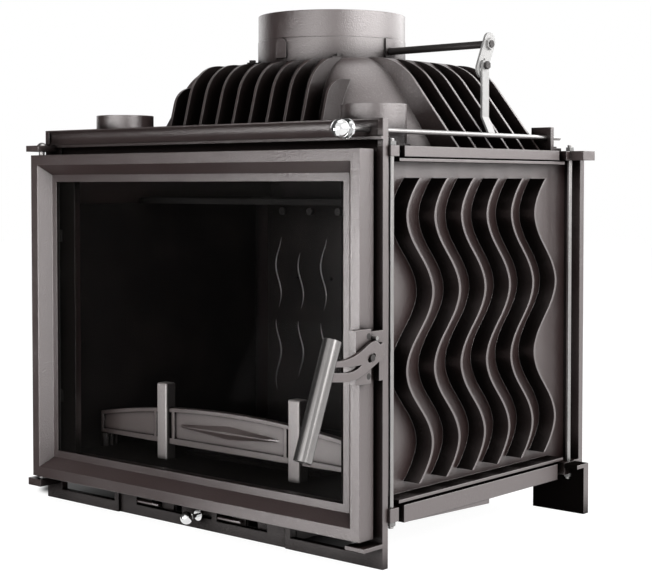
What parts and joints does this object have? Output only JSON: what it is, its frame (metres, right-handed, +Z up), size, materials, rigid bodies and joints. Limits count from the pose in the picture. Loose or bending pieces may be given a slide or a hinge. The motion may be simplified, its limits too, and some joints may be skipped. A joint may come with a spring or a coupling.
{
  "type": "fireplace insert",
  "caption": "Cast-iron fireplace insert with a hinged glass door, lever handle, wavy side fins, finned smoke hood, flue collar with push-rod damper and a sliding air register.",
  "frame": {"origin": "bottom centre of the bounding box, on the floor", "axes": "+X to the right of someone facing the door, +Y towards the back, +Z up"},
  "size_m": [0.64, 0.5704, 0.658],
  "materials": {
    "iron_paint": "grainy satin graphite paint on cast iron",
    "liner_iron": "matt black cast iron",
    "bright_steel": "satin",
    "dark_steel": "matt black",
    "chrome": "polished",
    "fire_glass": "clear fire glass",
    "rope": "woven sealing rope"
  },
  "bodies": {
    "carcass": {"front_plate": "iron_paint", "base_plate": "iron_paint", "top_plate": "iron_paint", "right_side_plate": "iron_paint", "left_side_plate": "iron_paint", "rear_plate": "iron_paint", "tie_rods": "bright_steel", "tie_rod_nuts": "bright_steel", "right_rear_foot": "iron_paint", "left_rear_foot": "iron_paint", "foot_bolts": "dark_steel", "smoke_hood": "iron_paint", "hood_bolts": "dark_steel", "flue_collar": "iron_paint", "flue_bolts": "dark_steel", "right_air_spigot": "iron_paint", "left_air_spigot": "iron_paint", "register_panel": "iron_paint", "hinge_pins": "bright_steel", "hinge_washer": "bright_steel", "latch_keeper": "iron_paint", "keeper_pin": "bright_steel", "rod_bracket": "iron_paint", "bracket_screws": "dark_steel", "right_side_liner": "liner_iron", "left_side_liner": "liner_iron", "rear_liner": "liner_iron", "liner_studs": "dark_steel", "baffle_plate": "liner_iron", "fire_grate": "liner_iron", "log_fender": "liner_iron", "fender_posts": "liner_iron", "ash_box": "dark_steel", "ash_screws": "dark_steel"},
    "door": {"door_frame": "iron_paint", "door_glass": "fire_glass", "glass_gasket": "rope", "door_rope": "rope", "glass_clips": "dark_steel", "clip_screws": "dark_steel", "latch_bracket": "iron_paint", "latch_screws": "dark_steel", "lever_pivot": "bright_steel"},
    "handle": {"handle_lever": "iron_paint", "handle_grip": "bright_steel"},
    "damper_rod": {"push_rod": "bright_steel", "rod_knob": "chrome", "rod_disc": "chrome", "link_post": "bright_steel", "crank_pin": "dark_steel", "pin_nut": "dark_steel"},
    "damper": {"damper_spindle": "dark_steel", "damper_plate": "dark_steel", "damper_screws": "dark_steel", "damper_crank": "bright_steel", "crank_nut": "dark_steel"},
    "air_slide": {"slide_plate": "dark_steel", "air_stem": "chrome", "air_disc": "chrome", "air_knob": "chrome"}
  },
  "joints": [
    {"name": "door_hinge", "type": "hinge", "parent": "carcass", "child": "door", "pos_m": [-0.283, -0.15434, 0.25], "axis": [0, 0, -1], "range_deg": [0, 110]},
    {"name": "handle_hinge", "type": "hinge", "parent": "door", "child": "handle", "pos_m": [0.3019, -0.16484, 0.241], "axis": [-1, 0, 0], "range_deg": [-20, 30]},
    {"name": "rod_slide", "type": "slide", "parent": "carcass", "child": "damper_rod", "axis": [0, 1, 0], "range_m": [-0.006, 0.02]},
    {"name": "damper_hinge", "type": "hinge", "parent": "carcass", "child": "damper", "pos_m": [0, 0.11966, 0.606], "axis": [1, 0, 0], "range_deg": [-11.6, 38.7]},
    {"name": "air_slide_joint", "type": "slide", "parent": "carcass", "child": "air_slide", "axis": [1, 0, 0], "range_m": [0, 0.02]}
  ],
  "couplings": [
    {"joint": "damper_hinge", "follows": "rod_slide", "rad_per_m": 33.7}
  ]
}
